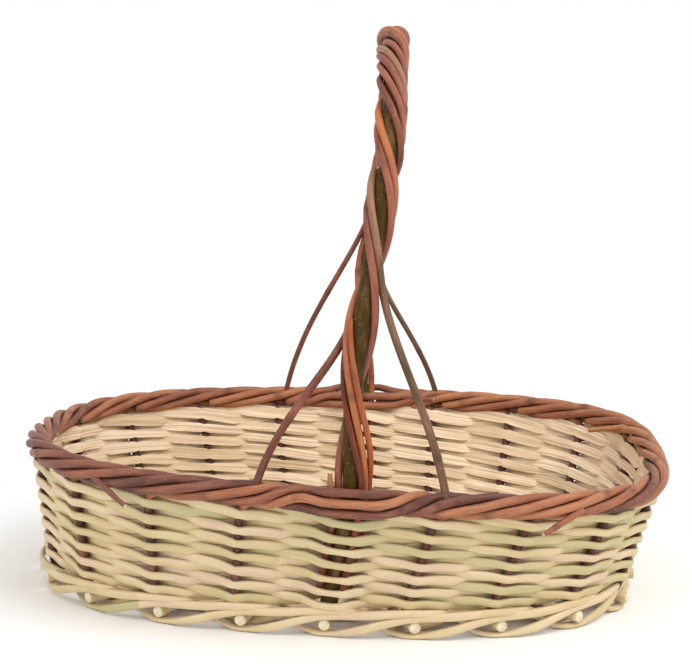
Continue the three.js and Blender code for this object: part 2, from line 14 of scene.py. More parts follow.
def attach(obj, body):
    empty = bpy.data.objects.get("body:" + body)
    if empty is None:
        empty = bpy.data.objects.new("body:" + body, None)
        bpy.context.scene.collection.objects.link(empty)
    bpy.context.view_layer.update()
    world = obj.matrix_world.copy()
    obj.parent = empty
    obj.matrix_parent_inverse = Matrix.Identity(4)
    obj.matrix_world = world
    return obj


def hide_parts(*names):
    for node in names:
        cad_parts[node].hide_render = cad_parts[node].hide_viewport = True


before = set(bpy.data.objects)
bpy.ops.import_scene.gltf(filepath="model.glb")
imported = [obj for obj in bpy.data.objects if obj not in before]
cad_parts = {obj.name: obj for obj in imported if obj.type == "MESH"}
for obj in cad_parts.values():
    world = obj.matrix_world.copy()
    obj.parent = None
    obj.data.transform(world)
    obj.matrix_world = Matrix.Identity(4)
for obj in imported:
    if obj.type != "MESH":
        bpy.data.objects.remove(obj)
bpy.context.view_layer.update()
MM = 0.001
TAU = 2 * math.pi
UP = Vector((0, 0, 1))

# The whole basket, as in the part's source
RIM_LENGTH = 400
RIM_WIDTH = 300
RIM_TOP = 94
RIM_SQUARENESS = 2.7
BASE_LENGTH = 360
BASE_WIDTH = 234
BASE_SQUARENESS = 2.5
BASE_TURN = math.radians(-4.5)
BASE_SHIFT = -5
RIM_SAG = 8
RIM_TWIST = 90
HANDLE_TOP = 351
HANDLE_SET = 5
HANDLE_LEAN = 18.5
LEAN_SPAN = (0.1, 0.85)
ARCH_SQUARENESS = 2.3

# Its pieces, as in the part's source
STAKES = 20
HALF = STAKES // 2
ROWS = 7
BASE_ROWS = 6
STRANDS = 5
STRAND_TURNS = 2
STRAND_START = -0.34
ROD = 5.4
CORE = 10
STICK = 7
LONG_STICK = 5
FACE_SHARE = 0.6
FOOT_CANE_HEIGHT = 4.4
FLAT_CANE = 3.6
BASE_CANE = 1.8
GAP = 0.3
WRAP_GAP = 0.45
STICK_PROUD = 7
STAKE_TAIL = 26
STAKE_BEND = 8
BORDER_BEND = 5
BEND_MIDDLE = 0.3
WRAP_DEPTH = 56
WRAP_STRAIGHT = 9
HANDLE_TURNS = 5
TURN_EASE = 0.3
BRACE_SPREAD = 54
HUB_PITCH = 25

# Sizes worked out from them
ROD_RADIUS = ROD / 2
STICK_RADIUS = STICK / 2
ROPE_RADIUS = (ROD + WRAP_GAP) / (2 * math.sin(math.pi / STRANDS))
ROPE_HALF = ROPE_RADIUS + ROD_RADIUS
RIM_Z = RIM_TOP - ROPE_HALF
BASE_Z = FLAT_CANE + GAP + STICK_RADIUS
OVER_LIFT = STICK_RADIUS + GAP + FOOT_CANE_HEIGHT / 2
FOOT_TOP = BASE_Z + OVER_LIFT + FOOT_CANE_HEIGHT / 2 + 6 * GAP
LOW_SHARE = (0.5 + FACE_SHARE) / 2
ROW_PITCH = (RIM_Z - ROPE_HALF - FOOT_TOP) / (ROWS - 0.5 + LOW_SHARE)
FIRST_ROW = FOOT_TOP + LOW_SHARE * ROW_PITCH
WRAP_REACH = (CORE + ROD) / 2 + WRAP_GAP
HANDLE_Z = HANDLE_TOP - WRAP_REACH - ROD_RADIUS
WALL_SLOPE = (RIM_WIDTH / 2 - ROPE_HALF - BASE_WIDTH / 2) / (RIM_Z - BASE_Z)


def lerp(a, b, share):
    return a + (b - a) * share


def clamp(value, low=0.0, high=1.0):
    return max(low, min(high, value))


def smoothstep(value, low, high):
    share = clamp((value - low) / (high - low))
    return share * share * (3 - 2 * share)


def bell(value, half, power=2):
    """1 where the value is 0, and falling off to both sides over about a half width."""
    return math.exp(-((value / half) ** power))


def squarish(value, power):
    """A sine or cosine, bent so that the circle they draw becomes a superellipse."""
    return math.copysign(abs(value) ** (2 / power), value)


def waver(seed, cycles):
    """A smooth wobble, about -1 to 1, that closes on itself when its share goes from 0 to 1."""
    rng = random.Random(seed)
    waves = [(count, rng.uniform(0, TAU), rng.uniform(0.5, 1)) for count in cycles]
    whole = math.sqrt(sum(size * size for _, _, size in waves))
    return lambda share: sum(s * math.sin(TAU * c * share + start) for c, start, s in waves) / whole


def lengths_along(points):
    lengths = [0.0]
    for before, after in zip(points, points[1:]):
        lengths.append(lengths[-1] + (after - before).length)
    return lengths


class Path:
    """A curve walked by the share of its length."""

    def __init__(self, points):
        self.points = points
        self.lengths = lengths_along(points)
        self.length = self.lengths[-1]

    def at(self, share):
        target = clamp(share) * self.length
        i = min(bisect.bisect_right(self.lengths, target), len(self.points) - 1)
        span = self.lengths[i] - self.lengths[i - 1]
        return self.points[i - 1].lerp(self.points[i], (target - self.lengths[i - 1]) / span)

    def along(self, share):
        step = 0.002
        return (self.at(share + step) - self.at(share - step)).normalized()


# The wall's centre surface: share goes round it from the middle of the front to +X, height goes up it
def oval(length, width, power):
    samples = 2880
    points = []
    for i in range(samples + 1):
        turn = TAU * i / samples - math.pi / 2
        x, y = squarish(math.cos(turn), power), squarish(math.sin(turn), power)
        points.append(Vector((length / 2 * x, width / 2 * y)))
    return Path(points)


rim = oval(RIM_LENGTH - 2 * ROPE_HALF, RIM_WIDTH - 2 * ROPE_HALF, RIM_SQUARENESS)
base = oval(BASE_LENGTH, BASE_WIDTH, BASE_SQUARENESS)
RIM_ROUND, BASE_ROUND = rim.length, base.length
SPACING = RIM_ROUND / STAKES


def rise_of(height):
    return (height - BASE_Z) / (RIM_Z - BASE_Z)


def on_base(x, y):
    turned = Matrix.Rotation(BASE_TURN, 2) @ Vector((x, y))
    return turned + Vector((BASE_SHIFT, 0))


def wall_centre(share, height):
    rise = rise_of(height)
    high = rim.at(share % 1)
    plan = on_base(*base.at(share % 1)).lerp(high, rise)
    tilt = RIM_SAG * smoothstep(-high.y, -RIM_TWIST, RIM_TWIST)
    sagged = clamp((height - FOOT_TOP) / (RIM_Z - ROPE_HALF - FOOT_TOP))
    return Vector((plan.x, plan.y, height - tilt * sagged * high.x / (RIM_LENGTH / 2)))


def wall_along(share, height):
    step = 0.002
    return (wall_centre(share + step, height) - wall_centre(share - step, height)).normalized()


def wall_frame(share, height):
    along = wall_along(share, height)
    rise = wall_centre(share, height + 1) - wall_centre(share, height - 1)
    outward = along.cross(rise).normalized()
    return wall_centre(share, height), outward, outward.cross(along) * (rise.z / 2)


def level_frame(share, height, level):
    along = wall_along(share, level)
    centre = wall_centre(share, level) + UP * (height - level)
    return centre, Vector((along.y, -along.x, 0)).normalized(), UP


def share_of(distance, height):
    return distance / lerp(BASE_ROUND, RIM_ROUND, rise_of(height))


def is_leg(stake):
    return stake % HALF == 0


def leg_set(stake):
    return HANDLE_SET if stake % STAKES == 0 else -HANDLE_SET


# Meshes
PATH_STEP = 3.5
CAP_OUT = 0.12  # how far a worn end stands out, over its size
CAP_SIZE = 0.86


def smooth_path(points, step=PATH_STEP):
    """Points every step or so along a centripetal Catmull-Rom curve through the points."""
    padded = [2 * points[0] - points[1], *points, 2 * points[-1] - points[-2]]
    path = []
    for a, b, c, d in zip(padded, padded[1:], padded[2:], padded[3:]):
        t1 = math.sqrt((b - a).length)
        t2 = t1 + math.sqrt((c - b).length)
        t3 = t2 + math.sqrt((d - c).length)
        count = max(1, round((c - b).length / step))
        for i in range(count):
            t = lerp(t1, t2, i / count)
            ab = a.lerp(b, t / t1)
            bc = b.lerp(c, (t - t1) / (t2 - t1))
            cd = c.lerp(d, (t - t2) / (t3 - t2))
            left = ab.lerp(bc, t / t2)
            right = bc.lerp(cd, (t - t1) / (t3 - t1))
            path.append(left.lerp(right, (t - t1) / (t2 - t1)))
    return [*path, points[-1].copy()]


def eased(knots):
    """A smooth curve through knots of a share and its values, level where the values turn."""
    shares = [share for share, _ in knots]
    rows = [values for _, values in knots]
    slopes = [[(b - a) / (shares[i + 1] - shares[i]) for a, b in zip(rows[i], rows[i + 1])]
              for i in range(len(knots) - 1)]
    turns = [[2 * a * b / (a + b) if a * b > 0 else 0.0 for a, b in zip(before, after)]
             for before, after in zip(slopes, slopes[1:])]
    turns = [slopes[0], *turns, slopes[-1]]

    def at(share):
        i = int(clamp(bisect.bisect_right(shares, share) - 1, 0, len(shares) - 2))
        span = shares[i + 1] - shares[i]
        t = (share - shares[i]) / span
        bend = t * t * (3 - 2 * t)
        leave, arrive = t * (1 - t) ** 2 * span, t * t * (t - 1) * span
        ends = zip(rows[i], rows[i + 1], turns[i], turns[i + 1])
        return [lerp(a, b, bend) + leave * p + arrive * q for a, b, p, q in ends]

    return at


def new_object(name, data):
    made = bpy.data.objects.new(name, data)
    bpy.context.scene.collection.objects.link(made)
    return made


def end_cap(ring, inside):
    """A worn end: the ring again, a little smaller and a little further out."""
    centre = sum(ring, Vector()) / len(ring)
    size = sum((point - centre).length for point in ring) / len(ring)
    out = (centre - sum(inside, Vector()) / len(inside)).normalized() * size * CAP_OUT
    return [centre + out + (point - centre) * CAP_SIZE for point in ring]


def strand(name, node, finish, cut, rings, grain, look):
    """One closed piece from rings of points, with how its surface runs and looks at each point."""
    rings = [end_cap(rings[0], rings[1]), *rings, end_cap(rings[-1], rings[-2])]
    grain = [grain[0], *grain, grain[-1]]
    look = [look[0], *look, look[-1]]
    sides = len(rings[0])
    faces = []
    for r in range(len(rings) - 1):
        for p in range(sides):
            n = (p + 1) % sides
            faces.append((r * sides + p, r * sides + n, (r + 1) * sides + n, (r + 1) * sides + p))
    last = (len(rings) - 1) * sides
    faces.append(tuple(range(sides - 1, -1, -1)))
    faces.append(tuple(range(last, last + sides)))
    mesh = bpy.data.meshes.new(name)
    mesh.from_pydata([point * MM for ring in rings for point in ring], [], faces)
    for label, values in (("grain", grain), ("look", look)):
        layer = mesh.attributes.new(label, "FLOAT_VECTOR", "POINT")
        layer.data.foreach_set("vector", [v for ring in values for point in ring for v in point])
    mesh.materials.append(finish)
    mesh.materials.append(cut)
    mesh.polygons.foreach_set("use_smooth", [True] * len(faces))
    for polygon in mesh.polygons[-2:]:
        polygon.material_index = 1
    whole = bmesh.new()
    whole.from_mesh(mesh)
    bmesh.ops.recalc_face_normals(whole, faces=whole.faces)
    whole.to_mesh(mesh)
    whole.free()
    piece = new_object(name, mesh)
    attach(piece, "root")
    if node:
        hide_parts(node)
    return piece


# Rods: leaf joints along them, over their usual spacing, and how much thicker and darker they are there
FIRST_JOINT = (0.2, 0.8)
NEXT_JOINT = (0.7, 1.3)
JOINT_SWELL = 0.1
JOINT_HALF = 2.5
JOINT_MARK = 2
ROD_WAVES = (3, 5, 9, 14)
UNEVENNESS = 0.025
ASKEW = Vector((0.02, 0.03, 1))
SHADE_EDGE = 12


def joints_along(rng, spacing, whole):
    joints = []
    at = rng.uniform(*FIRST_JOINT) * spacing
    while at < whole:
        joints.append(at)
        at += spacing * rng.uniform(*NEXT_JOINT)
    return joints


def rod_tone(tone, walked, whole, shaded, worn):
    if shaded:
        end_tone, first, last = shaded
        inside = min(walked - first, whole - walked - last)
        tone = lerp(end_tone, tone, smoothstep(inside, -SHADE_EDGE, 0))
    if worn:
        # A pale place along the rod: worn bark, and a painted highlight
        middle, half, paler = worn
        tone += paler * bell(walked - middle * whole, half)
    return tone


def rod(name, node, slot, finish, points, radius, tone, sides=12, joints=90, high=None,
        shaded=None, worn=None):
    """A round rod along points, thicker at its leaf joints. Radius is a function of the share along.

    Shaded holds another tone, and how long the first and the last part of the rod are that have it.
    Worn holds the share along at which the rod is worn pale and painted with a highlight, half that place's
    length and how pale.
    """
    lengths = lengths_along(points)
    whole = lengths[-1]
    knots = joints_along(random.Random(name), joints, whole)
    uneven = waver(name, ROD_WAVES)
    high = high or radius
    side = (points[1] - points[0]).cross(ASKEW)
    rings, grain, look = [], [], []
    for i, point in enumerate(points):
        ahead = points[min(i + 1, len(points) - 1)]
        behind = points[max(i - 1, 0)]
        along = (ahead - behind).normalized()
        side = (side - along * side.dot(along)).normalized()
        other = along.cross(side)
        walked = lengths[i]
        share = walked / whole
        swell = 1 + UNEVENNESS * uneven(share)
        swell += sum(JOINT_SWELL * bell(walked - knot, JOINT_HALF) for knot in knots)
        ring, runs = [], []
        for s in range(sides):
            angle = TAU * s / sides
            reach = side * radius(share) * math.cos(angle) + other * high(share) * math.sin(angle)
            ring.append(point + reach * swell)
            runs.append((walked, ROD_RADIUS * math.cos(angle), ROD_RADIUS * math.sin(angle)))
        rings.append(ring)
        grain.append(runs)
        near = max((bell(walked - knot, JOINT_MARK) for knot in knots), default=0)
        look.append([(rod_tone(tone, walked, whole, shaded, worn), near, share)] * sides)
    return strand(name, node, finish, cut_wood, rings, grain, look)


# Materials: the nodes read how a surface runs (grain) and what it is (look) from the mesh
class Finish:
    def __init__(self, owner, shader="Principled BSDF"):
        owner.use_nodes = True
        self.owner = owner
        self.tree = owner.node_tree
        self.shader = self.tree.nodes[shader]

    def add(self, kind, sockets=None, **settings):
        node = self.tree.nodes.new("ShaderNode" + kind)
        for key, value in settings.items():
            setattr(node, key, value)
        for key, value in (sockets or {}).items():
            self.put(node.inputs[key], value)
        return node

    def put(self, socket, value):
        if isinstance(value, bpy.types.NodeSocket):
            self.tree.links.new(value, socket)
        else:
            socket.default_value = value

    def surface(self, **sockets):
        for key, value in sockets.items():
            self.put(self.shader.inputs[key.replace("_", " ")], value)

    def attribute(self, name):
        return self.add("Attribute", attribute_name=name).outputs["Vector"]

    def parts(self, vector):
        return self.add("SeparateXYZ", {"Vector": vector}).outputs

    def stretched(self, vector, scale):
        return self.add("VectorMath", {0: vector, 1: scale}, operation="MULTIPLY").outputs["Vector"]

    def noise(self, vector, detail=3, roughness=0.55):
        sockets = {"Vector": vector, "Scale": 1.0, "Detail": detail, "Roughness": roughness}
        return self.add("TexNoise", sockets).outputs["Fac"]

    def calc(self, a, b, operation="ADD"):
        return self.add("Math", {0: a, 1: b}, operation=operation).outputs[0]

    def spread(self, value, low, high, to_low=0.0, to_high=1.0):
        sockets = {"Value": value, "From Min": low, "From Max": high, "To Min": to_low, "To Max": to_high}
        return self.add("MapRange", sockets).outputs["Result"]

    def ramp(self, value, *stops):
        node = self.add("ValToRGB", {"Fac": value})
        elements = node.color_ramp.elements
        while len(elements) < len(stops):
            elements.new(0.5)
        for element, (at, colour) in zip(elements, stops):
            element.position = at
            element.color = (*colour, 1)
        return node.outputs["Color"]

    def mix(self, share, a, b, blend_type="MIX"):
        node = self.add("Mix", data_type="RGBA", blend_type=blend_type)
        self.put(node.inputs["Factor"], share)
        for socket, value in ((node.inputs[6], a), (node.inputs[7], b)):
            self.put(socket, value if isinstance(value, bpy.types.NodeSocket) else (*value, 1))
        return node.outputs[2]

    def bump(self, height, strength, distance):
        sockets = {"Height": height, "Strength": strength, "Distance": distance * MM}
        return self.add("Bump", sockets).outputs["Normal"]

    def seen(self):
        """1 for what the camera sees, also by reflection or through glass."""
        rays = self.add("LightPath").outputs
        straight = self.calc(rays["Is Camera Ray"], rays["Is Glossy Ray"])
        return self.calc(straight, rays["Is Transmission Ray"])

    def whiten(self, share, white, output):
        """Mix white light over the shader, in a share."""
        both = self.add("MixShader", {0: share, 1: self.shader.outputs[0], 2: white.outputs[0]})
        self.tree.links.new(both.outputs[0], self.tree.nodes[output].inputs["Surface"])


# Streaks along the split face: fibres, with painted highlights above white and painted shade in the darker
# streaks
SPLIT_FIBRES_AND_PAINTED_LIGHT = ((0.36, (0.7, 0.64, 0.56)), (0.48, (0.97, 0.96, 0.95)), (0.66, (1.09, 1.1, 1.1)))


def cane_finish():
    """Split cane: a glossy skin in straw, green or pink tones outside, a matt fibrous face inside."""
    f = Finish(bpy.data.materials.new("split_cane"))
    grain = f.attribute("grain")
    tone, skin, _ = f.parts(f.attribute("look"))
    fibres = f.noise(f.stretched(grain, (0.03, 2.2, 1.0)), detail=4, roughness=0.65)
    patches = f.noise(f.stretched(grain, (0.035, 0.12, 1.0)), detail=2)
    patchy_tone = f.calc(tone, f.spread(patches, 0.3, 0.7, -0.22, 0.22))
    green, straw = (0.52, 0.46, 0.24), (0.63, 0.49, 0.26)
    cream, pink = (0.71, 0.57, 0.36), (0.67, 0.5, 0.34)
    skin_colour = f.ramp(patchy_tone, (0.05, green), (0.45, straw), (0.78, cream), (1.0, pink))
    dull, buff, pale = (0.72, 0.55, 0.36), (0.86, 0.67, 0.48), (0.94, 0.78, 0.58)
    split_colour = f.ramp(patchy_tone, (0.05, dull), (0.5, buff), (0.95, pale))
    # Fibre streaks along the split face, also painted highlights and painted shade
    fibres_and_painted_light = f.noise(f.stretched(grain, (0.012, 0.95, 1.0)), detail=2)
    split_colour = f.mix(1.0, split_colour, f.ramp(fibres_and_painted_light, *SPLIT_FIBRES_AND_PAINTED_LIGHT), "MULTIPLY")
    colour = f.mix(skin, split_colour, skin_colour)
    streak = f.ramp(fibres, (0.3, (0.74, 0.66, 0.55)), (0.52, (1, 1, 1)), (0.75, (1.0, 0.99, 0.95)))
    colour = f.mix(f.spread(skin, 0, 1, 0.85, 0.5), colour, streak, "MULTIPLY")
    specks = f.noise(f.stretched(grain, (0.35, 0.8, 1.0)), detail=3, roughness=0.7)
    worn = f.spread(specks, 0.66, 0.74)
    colour = f.mix(f.calc(worn, 0.5, "MULTIPLY"), colour, (0.33, 0.2, 0.1))
    roughness = f.spread(skin, 0, 1, 0.72, 0.4)
    f.surface(Base_Color=colour, Roughness=roughness, IOR=1.45, Normal=f.bump(fibres, 0.35, 0.25))
    return f.owner


BARK_SHINE = 0.22
CORE_SHINE = 0.08


def bark_finish(name, *stops, shine=BARK_SHINE):
    """Willow bark: tones along the rod, fine wrinkles, pale pores and scuffs, darker leaf joints."""
    f = Finish(bpy.data.materials.new(name))
    scuff, pore, joint = (0.36, 0.2, 0.15), (0.52, 0.37, 0.27), (0.05, 0.025, 0.02)
    grain = f.attribute("grain")
    tone, knot, _ = f.parts(f.attribute("look"))
    patches = f.noise(f.stretched(grain, (0.03, 0.12, 0.12)), detail=3)
    wrinkles = f.noise(f.stretched(grain, (0.1, 1.7, 1.7)), detail=4, roughness=0.6)
    pores = f.noise(f.stretched(grain, (0.55, 0.9, 0.9)), detail=1)
    patchy_tone = f.calc(tone, f.spread(patches, 0.3, 0.7, -0.28, 0.28))
    colour = f.ramp(patchy_tone, *stops)
    lines = f.ramp(wrinkles, (0.32, (0.5, 0.42, 0.4)), (0.55, (1, 1, 1)), (0.75, (1.0, 0.95, 0.9)))
    colour = f.mix(0.75, colour, lines, "MULTIPLY")
    bloom = f.noise(f.stretched(grain, (0.06, 0.25, 0.25)), detail=4, roughness=0.7)
    colour = f.mix(f.spread(bloom, 0.5, 0.8, 0, 0.35), colour, scuff)
    colour = f.mix(f.spread(pores, 0.7, 0.76, 0, 0.4), colour, pore)
    colour = f.mix(f.calc(knot, 0.55, "MULTIPLY"), colour, joint)
    roughness = f.spread(bloom, 0.3, 0.75, 0.34, 0.6)
    f.surface(Base_Color=colour, Roughness=roughness, Specular_IOR_Level=shine,
              Normal=f.bump(wrinkles, 0.5, 0.3))
    return f.owner


def peeled_finish(name, pale, dark):
    """Peeled or cut wood: pale, with fine grain lines and grey weathering."""
    f = Finish(bpy.data.materials.new(name))
    grain = f.attribute("grain")
    fibres = f.noise(f.stretched(grain, (0.05, 1.5, 1.5)), detail=4, roughness=0.65)
    patches = f.noise(f.stretched(grain, (0.04, 0.2, 0.2)), detail=2)
    colour = f.ramp(f.calc(f.calc(fibres, patches), 0.5, "MULTIPLY"), (0.35, dark), (0.6, pale))
    f.surface(Base_Color=colour, Roughness=0.68, Normal=f.bump(fibres, 0.4, 0.25))
    return f.owner


cane = cane_finish()
willow = bark_finish(
    "willow_bark", (0.0, (0.12, 0.046, 0.032)), (0.3, (0.23, 0.087, 0.058)),
    (0.6, (0.33, 0.12, 0.062)), (0.95, (0.47, 0.195, 0.092)))
wrapping = bark_finish(
    "wrapping_bark", (0.0, (0.12, 0.039, 0.021)), (0.35, (0.25, 0.08, 0.052)),
    (0.65, (0.36, 0.12, 0.07)), (0.95, (0.48, 0.16, 0.05)))
crimson = bark_finish(
    "crimson_bark", (0.0, (0.09, 0.02, 0.012)), (0.5, (0.26, 0.055, 0.02)),
    (0.95, (0.42, 0.12, 0.035)))
dun = bark_finish(
    "dun_bark", (0.0, (0.08, 0.045, 0.023)), (0.5, (0.16, 0.09, 0.05)),
    (0.95, (0.34, 0.17, 0.105)))
# The core's palest stop is reached only at its crest, which is painted pale: worn bark and a painted
# highlight
olive = bark_finish(
    "core_bark", (0.0, (0.04, 0.022, 0.003)), (0.5, (0.075, 0.043, 0.007)),
    (0.8, (0.13, 0.08, 0.02)), (1.0, (0.42, 0.3, 0.16)), shine=CORE_SHINE)
peeled = peeled_finish("peeled_stick", (0.72, 0.58, 0.36), (0.5, 0.36, 0.18))
cut_wood = peeled_finish("cut_wood", (0.85, 0.75, 0.55), (0.62, 0.49, 0.31))
cane_cut = peeled_finish("cane_cut", (0.7, 0.54, 0.32), (0.48, 0.33, 0.17))

# Canes: a rounded skin outside and a flat split face inside, and the lengths pieced into a weaver
ARC_POINTS = 9
ARC_FLATNESS = 0.45
LENS = [(math.cos(math.pi * (i / (ARC_POINTS - 1) - 0.5)) ** ARC_FLATNESS - 0.5,
         math.sin(math.pi * (i / (ARC_POINTS - 1) - 0.5)) / 2) for i in range(ARC_POINTS)]
SPLIT_FACE = [(-0.5, 0.45), (-0.5, 0.2), (-0.5, -0.2), (-0.5, -0.45)]
SECTION = [*LENS, *SPLIT_FACE]
SKIN = [0.5 + 0.5 * (0 < i < ARC_POINTS - 1) - 0.5 * (i >= ARC_POINTS) for i in range(len(SECTION))]
SPLIT_APART = 20  # the split face's grain, away from the skin's
SEEDS = (0, 100)
CANE_TONES = (0.05, 0.95)
CANE_WIDTHS = (5.2, 7.0)
CANE_PAIRS = (2, 4)  # pairs of stakes that one length passes
CANE_TAPER = 0.9


def cane_rings(stations, frame_at, seed):
    """Rings, grain and look for a cane through stations of share, height, out, tall, thick and tone."""
    rings, grain, look = [], [], []
    walked = 0.0
    before = None
    for share, height, out, tall, thick, tone in stations:
        centre, outward, up = frame_at(share, height)
        middle = centre + outward * out
        walked += (middle - before).length if before else 0
        before = middle
        rings.append([middle + outward * (a * thick) + up * (b * tall) for a, b in SECTION])
        grain.append([(walked, b * tall + (1 - s) * SPLIT_APART, seed) for (a, b), s in zip(SECTION, SKIN)])
        look.append([(tone, s, 0.0) for s in SKIN])
    return rings, grain, look


def cane_lengths(rng, first, last):
    """Tone and width of the canes that are pieced into one weaver, by stake."""
    canes = []
    while len(canes) <= last - first + 1:
        tone, wide = rng.uniform(*CANE_TONES), rng.uniform(*CANE_WIDTHS)
        run = 2 * rng.randint(*CANE_PAIRS)
        canes += [(tone, wide - CANE_TAPER * i / run) for i in range(run)]
    return canes


# Side weavers: twined in pairs, in rows whose edges wander a little
ROW_WANDER = 0.9
ROW_WAVES = (2, 3, 5, 8, 11, 14)
SLACK_EDGE = 0.35  # how much of that the lowest and the highest edge have
TOP_TUCK = 2.4
LEAN_ROOM = math.hypot(1, WALL_SLOPE)
CROSS_STEPS = 20
JOIN_GAP = 0.004
edge_wander = [waver(f"row edge {i}", ROW_WAVES) for i in range(ROWS + 1)]

# How tall a cane is, over its row's room: inside and outside, along the front and the back, less on a stake
FRONT_INSIDE = 1.03
BACK_INSIDE = 0.72
BACK_OUTSIDE = 1.05
FRONT_PINCH = 0.28
BACK_PINCH = 0.14
OUTSIDE_PINCH = 0.36
OUTSIDE_GROWS = (-0.35, 0.0)
INSIDE_SHRINKS = (0.0, 0.35)

# Along the front outside it has its own width, within the room, and a few places are wider or narrower
OVER_CROSS = 0.3
UNDER_ROOM = 1.2
CROSS_FADE = 0.25
FLOAT_SWELL = 0.7
SWELL_SPAN = (0.06, 0.3)
LEG_NARROWING = 1.3
LEFT_NARROWING = 1.2
LEFT_END = 0.84
LEFT_SPAN = 0.05

# How a cane lies: its reach round the stakes, and how far it sinks between them over the rows' spacing
SPLIT_CANE = 2.0
STAKE_REACH = ROD_RADIUS + GAP + SPLIT_CANE / 2
LEG_REACH = CORE / 2 + GAP + SPLIT_CANE / 2
FREE_REACH = 0.32 * STAKE_REACH
CROSS_REACH = 0.06
CROSS_SINK = 0.25
CROSS_ROUND = 0.12
PINCH = (0.031, 0.14)  # half widths in spaces, on a stake and on a handle leg
BULGE = (0.13, 0.26)


def row_edge(edge, share):
    free = SLACK_EDGE if edge in (0, ROWS) else 1
    tuck = TOP_TUCK if edge == ROWS else 0
    return FIRST_ROW + (edge - 0.5) * ROW_PITCH + tuck + ROW_WANDER * free * edge_wander[edge](share)


def in_front(stake, strand_number):
    return 1 if (stake + strand_number) % 2 == 0 else -1


def join_stake(row, strand_number):
    stake = 2 * ((3 * row + 5 * strand_number) % HALF) + 1 - strand_number
    return stake + 2 if is_leg(stake) else stake


def sinking(u):
    """How far a cane has sunk below its row so far on from a stake, over the spacing of the rows."""
    return CROSS_SINK * (1 - math.hypot(2 * u - 1, CROSS_ROUND)) / (1 - CROSS_ROUND)


def towards_back(share, span):
    """0 along the front of the basket and 1 along its back, with the change in a span from -1 to 1."""
    return smoothstep(-math.cos(TAU * share), *span)


def stake_effect(stake, away, stake_half, leg_half):
    """How much of what a stake or a handle leg does to a cane is left so many spaces away from it."""
    if is_leg(stake):
        return bell(away - leg_set(stake) / SPACING, leg_half, 4)
    return bell(away, stake_half)


def lay(stake, u):
    """How far out a cane is that goes from the front of a stake to the back of the next."""
    before, after = (LEG_REACH if is_leg(s) else STAKE_REACH for s in (stake, stake + 1))
    free = FREE_REACH * math.tanh((0.5 - u) / CROSS_REACH)
    leaving = (before - FREE_REACH) * stake_effect(stake, u, *BULGE)
    arriving = (after - FREE_REACH) * stake_effect(stake + 1, u - 1, *BULGE)
    return free + leaving - arriving


def cane_tall(row, share, stake, u, side, room, wide):
    """How tall a cane is, so far on from a stake, where its row has so much room."""
    narrow = stake_effect(stake, u, *PINCH) + stake_effect(stake + 1, u - 1, *PINCH)
    swing = side * math.cos(math.pi * u)
    cross = room / 2
    if swing < 0:
        back = towards_back(share, INSIDE_SHRINKS)
        face = room * lerp(FRONT_INSIDE - FRONT_PINCH * narrow, BACK_INSIDE - BACK_PINCH * narrow, back)
    else:
        face = clamp(wide, cross + OVER_CROSS, room - UNDER_ROOM)
        face += FLOAT_SWELL * smoothstep(u if side > 0 else 1 - u, *SWELL_SPAN)
        face -= LEFT_NARROWING * bell(share % 1 - LEFT_END, LEFT_SPAN)
        if is_leg(stake) or is_leg(stake + 1):
            face -= LEG_NARROWING * narrow
        showing = OUTSIDE_PINCH * narrow if row < ROWS - 1 else 0
        outside = towards_back(share, OUTSIDE_GROWS) * (BACK_OUTSIDE - showing)
        face = max(face, outside * room)
    return lerp(cross, face, smoothstep(abs(swing), 0.0, CROSS_FADE))


def side_weaver(row, strand_number):
    place_name = f"{row + 1}{'ab'[strand_number]}"
    name = f"side_cane_{place_name}"
    rng = random.Random(name)
    first = join_stake(row, strand_number)
    canes = cane_lengths(rng, first, first + STAKES)
    stations = []
    for step in range(STAKES * CROSS_STEPS + 1):
        stake = first + min(step // CROSS_STEPS, STAKES - 1)
        u = step / CROSS_STEPS - (stake - first)
        share = clamp(stake + u, first + JOIN_GAP, first + STAKES - JOIN_GAP) / STAKES
        side = in_front(stake, strand_number)
        low, high = row_edge(row, share), row_edge(row + 1, share)
        (tone, wide), (next_tone, next_wide) = canes[stake - first], canes[stake - first + 1]
        tall = cane_tall(row, share, stake, u, side, (high - low) * LEAN_ROOM, lerp(wide, next_wide, u))
        height = (low + high) / 2 - side * (high - low) * sinking(u)
        shown_tone = tone if u < 0.5 else next_tone
        stations.append((share, height, side * lay(stake, u), tall, SPLIT_CANE, shown_tone))
    rings, grain, look = cane_rings(stations, wall_frame, rng.uniform(*SEEDS))
    strand(name, f"side_weaver_{place_name}", cane, cane_cut, rings, grain, look)


for row in range(ROWS):
    for strand_number in (0, 1):
        side_weaver(row, strand_number)

# Foot weavers: three strands, each under one base stick end and over the next two
FOOT_STEPS = 26
FOOT_STRANDS = 3
FOOT_FIRST = HALF  # the stake at which each strand's ends butt
FOOT_BUTT = 0.02 / STAKES
RIGHT_DRAWN = 6.0
RIGHT_END = 0.24
RIGHT_SPAN = 0.08
DRAWN_OUT = (2, 8)  # distances out at which none and all of that is there
# Sticks passed, and there the strand's height, distance out, tallness and thickness
FOOT_RUN = (
    (0.0, (1.6, 4.2, 3.2, 5.0)), (0.08, (1.7, 4.4, 3.3, 4.8)), (0.3, (3.9, 7.6, 4.8, 2.6)),
    (0.5, (6.6, 8.4, 5.6, 2.6)), (0.75, (10.4, 8.2, 5.2, 2.6)), (1.0, (12.9, 7.9, 4.8, 2.6)),
    (1.5, (14.4, 8.5, 5.4, 2.6)), (2.0, (16.2, 8.8, 4.4, 2.6)), (2.3, (15.6, 6.8, 4.6, 2.6)),
    (2.52, (11.5, 1.6, 4.4, 2.6)), (2.76, (2.6, 0.8, 3.4, 4.4)), (2.92, (1.6, 3.6, 3.2, 5.0)),
)


def stick_share(stake):
    beside = leg_set(stake) if is_leg(stake) else ROD_RADIUS + STICK_RADIUS + GAP
    return stake / STAKES + share_of(beside, BASE_Z)


def foot_frame(share, height):
    return level_frame(share, height, BASE_Z)


def drawn_in(share):
    """How far the foot is drawn in round the basket's right end."""
    return RIGHT_DRAWN * bell(share - RIGHT_END, RIGHT_SPAN, 4)


